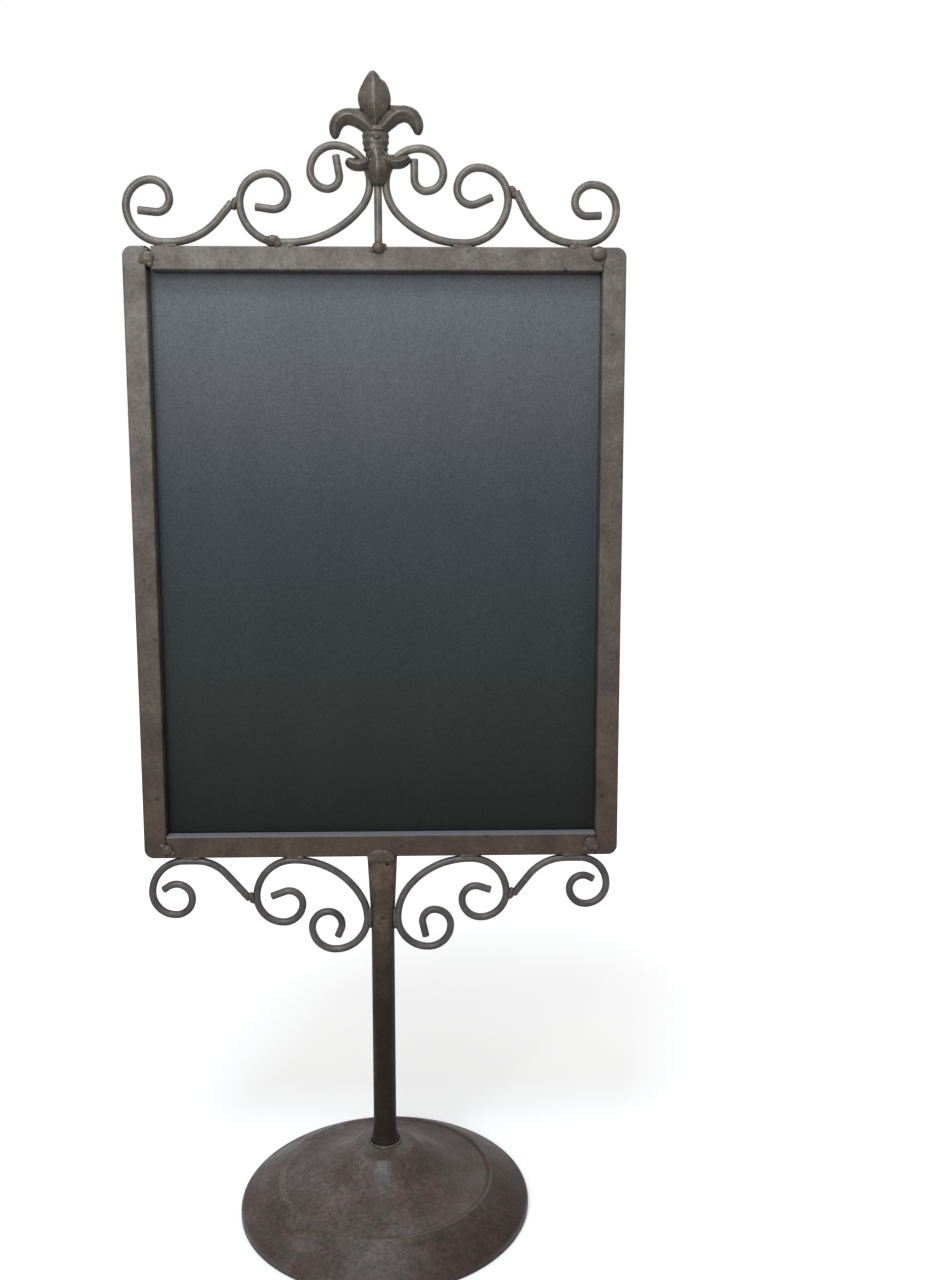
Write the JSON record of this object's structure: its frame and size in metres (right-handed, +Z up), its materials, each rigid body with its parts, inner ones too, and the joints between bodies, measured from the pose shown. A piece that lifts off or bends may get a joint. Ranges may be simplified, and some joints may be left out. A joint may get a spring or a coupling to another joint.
{
  "type": "menu chalkboard stand",
  "caption": "Rectangular chalkboard in a welded steel frame with wrought scrolls and a fleur-de-lis finial, on a round post and a dished round base.",
  "frame": {"origin": "on the floor, under the middle of the post", "axes": "+Z up along the post, the writing side of the board faces -Y, +X to the reader's right"},
  "size_m": [0.4064, 0.256, 0.965],
  "materials": {
    "rusted_frame": "matte",
    "scroll_wire": "satin",
    "casting": "satin",
    "post_paint": "satin",
    "base_paint": "satin",
    "weld_metal": "satin",
    "chalkboard": "matte",
    "steel": "satin",
    "ballast_iron": "matte",
    "pad_rubber": "matte"
  },
  "bodies": {
    "root": {"left_stile": "rusted_frame", "right_stile": "rusted_frame", "stile_end_plugs": "rusted_frame", "top_rail": "rusted_frame", "bottom_rail": "rusted_frame", "chalkboard_panel": "chalkboard", "board_clips": "steel", "top_left_inner_scroll": "scroll_wire", "top_left_outer_scroll": "scroll_wire", "top_right_inner_scroll": "scroll_wire", "top_right_outer_scroll": "scroll_wire", "bottom_left_inner_scroll": "scroll_wire", "bottom_left_outer_scroll": "scroll_wire", "bottom_right_inner_scroll": "scroll_wire", "bottom_right_outer_scroll": "scroll_wire", "finial_stem": "scroll_wire", "fleur_finial": "casting", "post_tube": "post_paint", "threaded_plug": "steel", "base_shell": "base_paint", "ballast_disc": "ballast_iron", "flat_washer": "steel", "lock_washer": "steel", "base_bolt": "steel", "foot_pads": "pad_rubber", "corner_welds": "weld_metal", "scroll_seat_welds": "weld_metal", "scroll_joint_welds": "weld_metal", "stem_weld": "weld_metal", "post_top_welds": "weld_metal", "post_side_welds": "weld_metal", "post_foot_weld": "weld_metal"}
  },
  "joints": []
}
